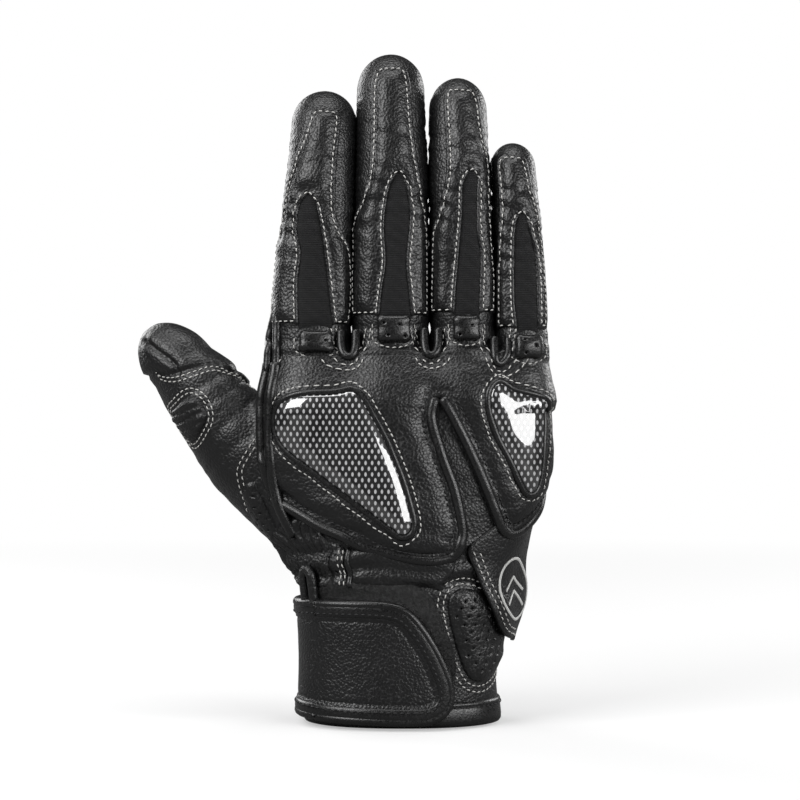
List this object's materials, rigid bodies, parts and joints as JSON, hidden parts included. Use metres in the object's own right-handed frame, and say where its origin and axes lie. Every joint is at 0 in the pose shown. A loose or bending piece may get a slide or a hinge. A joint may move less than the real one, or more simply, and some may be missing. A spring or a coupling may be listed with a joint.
{
  "type": "riding glove",
  "caption": "Short cuffed leather riding glove with hard knuckle shells, stretch finger panels, perforated vents and a hook-and-loop wrist strap.",
  "frame": {"origin": "centre of the cuff's opening, in the plane of its rim", "axes": "+Z from the cuff to the fingertips, -Y out of the back of the hand, +Y out of the palm, -X to the thumb"},
  "size_m": [0.1514, 0.0591, 0.2512],
  "materials": {
    "soft_leather": "semi-gloss fine grain",
    "coarse_leather": "pebbled grain",
    "smooth_trim": "smooth rolled edge",
    "palm_suede": "napped, matt",
    "stretch_knit": "matt stretch knit",
    "hook_and_loop": "brushed nylon",
    "lining": "tricot knit",
    "foam": "matt foam",
    "carbon_shell": "clear-coated woven carbon",
    "white_print": "raised matt print"
  },
  "bodies": {
    "hand": {"palm_panel": "soft_leather", "wrist_back_panel": "soft_leather", "shirred_wrist_panel": "soft_leather", "thumb_gusset": "stretch_knit", "thumb_root_panel": "soft_leather", "back_panel": "soft_leather", "back_panel_piping": "smooth_trim", "large_knuckle_guard": "carbon_shell", "small_knuckle_guard": "carbon_shell", "pad_foams": "foam", "side_pipings": "smooth_trim", "web_rolls": "smooth_trim", "cuff_binding": "smooth_trim", "loop_patch": "hook_and_loop", "wrist_pad_cover": "soft_leather", "hand_lining": "lining", "palm_heel_patch": "palm_suede", "palm_grip_patch": "palm_suede", "strap_anchor": "coarse_leather"},
    "strap": {"wrist_strap": "coarse_leather", "strap_binding": "smooth_trim", "strap_hook_pad": "hook_and_loop"},
    "side_tab": {"side_tab": "soft_leather", "tab_emblem": "white_print"},
    "pull_loop": {"pull_loop": "soft_leather"},
    "index_base": {"index_palm_face": "soft_leather", "index_side_walls": "soft_leather", "index_base_overlay": "soft_leather", "index_stretch_insert": "stretch_knit", "index_vent_tab": "soft_leather"},
    "index_tip": {"index_tip_overlay": "soft_leather", "index_fingertip_cap": "soft_leather"},
    "middle_base": {"middle_palm_face": "soft_leather", "middle_side_walls": "soft_leather", "middle_base_overlay": "soft_leather", "middle_stretch_insert": "stretch_knit", "middle_vent_tab": "soft_leather"},
    "middle_tip": {"middle_tip_overlay": "soft_leather", "middle_fingertip_cap": "soft_leather"},
    "ring_base": {"ring_palm_face": "soft_leather", "ring_side_walls": "soft_leather", "ring_base_overlay": "soft_leather", "ring_stretch_insert": "stretch_knit", "ring_vent_tab": "soft_leather"},
    "ring_tip": {"ring_tip_overlay": "soft_leather", "ring_fingertip_cap": "soft_leather"},
    "little_base": {"little_palm_face": "soft_leather", "little_side_walls": "soft_leather", "little_base_overlay": "soft_leather", "little_stretch_insert": "stretch_knit", "little_vent_tab": "soft_leather"},
    "little_tip": {"little_tip_overlay": "soft_leather", "little_fingertip_cap": "soft_leather"},
    "thumb_base": {"thumb_palm_face": "soft_leather", "thumb_side_walls": "soft_leather", "thumb_back_panel": "soft_leather", "thumb_knuckle_gather": "soft_leather"},
    "thumb_tip": {"thumb_tip_overlay": "soft_leather", "thumb_tip_cap": "soft_leather"}
  },
  "joints": [
    {"name": "index_knuckle_bend", "type": "hinge", "parent": "hand", "child": "index_base", "pos_m": [-0.033, 0.01225, 0.1389], "axis": [-1, 0, 0], "range_deg": [0, 75]},
    {"name": "index_middle_bend", "type": "hinge", "parent": "index_base", "child": "index_tip", "pos_m": [-0.0317, 0.0139, 0.18597], "axis": [-1, 0, 0], "range_deg": [0, 95]},
    {"name": "middle_knuckle_bend", "type": "hinge", "parent": "hand", "child": "middle_base", "pos_m": [-0.0036, 0.01245, 0.1389], "axis": [-1, 0, 0], "range_deg": [0, 75]},
    {"name": "middle_middle_bend", "type": "hinge", "parent": "middle_base", "child": "middle_tip", "pos_m": [-0.0036, 0.01445, 0.19395], "axis": [-1, 0, 0], "range_deg": [0, 95]},
    {"name": "ring_knuckle_bend", "type": "hinge", "parent": "hand", "child": "ring_base", "pos_m": [0.0242, 0.01185, 0.1389], "axis": [-1, 0, 0], "range_deg": [0, 75]},
    {"name": "ring_middle_bend", "type": "hinge", "parent": "ring_base", "child": "ring_tip", "pos_m": [0.0236, 0.01376, 0.192], "axis": [-1, 0, 0], "range_deg": [0, 95]},
    {"name": "little_knuckle_bend", "type": "hinge", "parent": "hand", "child": "little_base", "pos_m": [0.0465, 0.00985, 0.1389], "axis": [-1, 0, 0], "range_deg": [0, 75]},
    {"name": "little_middle_bend", "type": "hinge", "parent": "little_base", "child": "little_tip", "pos_m": [0.0459, 0.01108, 0.17638], "axis": [-1, 0, 0], "range_deg": [0, 95]},
    {"name": "thumb_base_bend", "type": "hinge", "parent": "hand", "child": "thumb_base", "pos_m": [-0.05094, 0.02099, 0.10461], "axis": [-0.5358, 0.7023, -0.4687], "range_deg": [0, 20]},
    {"name": "thumb_tip_bend", "type": "hinge", "parent": "thumb_base", "child": "thumb_tip", "pos_m": [-0.0652, 0.02363, 0.12615], "axis": [-0.5358, 0.7023, -0.4687], "range_deg": [0, 40]},
    {"name": "strap_peel", "type": "hinge", "parent": "hand", "child": "strap", "pos_m": [-0.042, 0, 0.024], "axis": [0, 0, -1], "range_deg": [0, 110]},
    {"name": "side_tab_lift", "type": "hinge", "parent": "hand", "child": "side_tab", "pos_m": [0.038, -0.0186, 0.0718], "axis": [-0.831, -0.513, -0.215], "range_deg": [0, 30]},
    {"name": "pull_loop_swing", "type": "hinge", "parent": "hand", "child": "pull_loop", "pos_m": [-0.0367, -0.0142, 0.049], "axis": [0.6159, -0.7878, 0], "range_deg": [0, 60]}
  ]
}
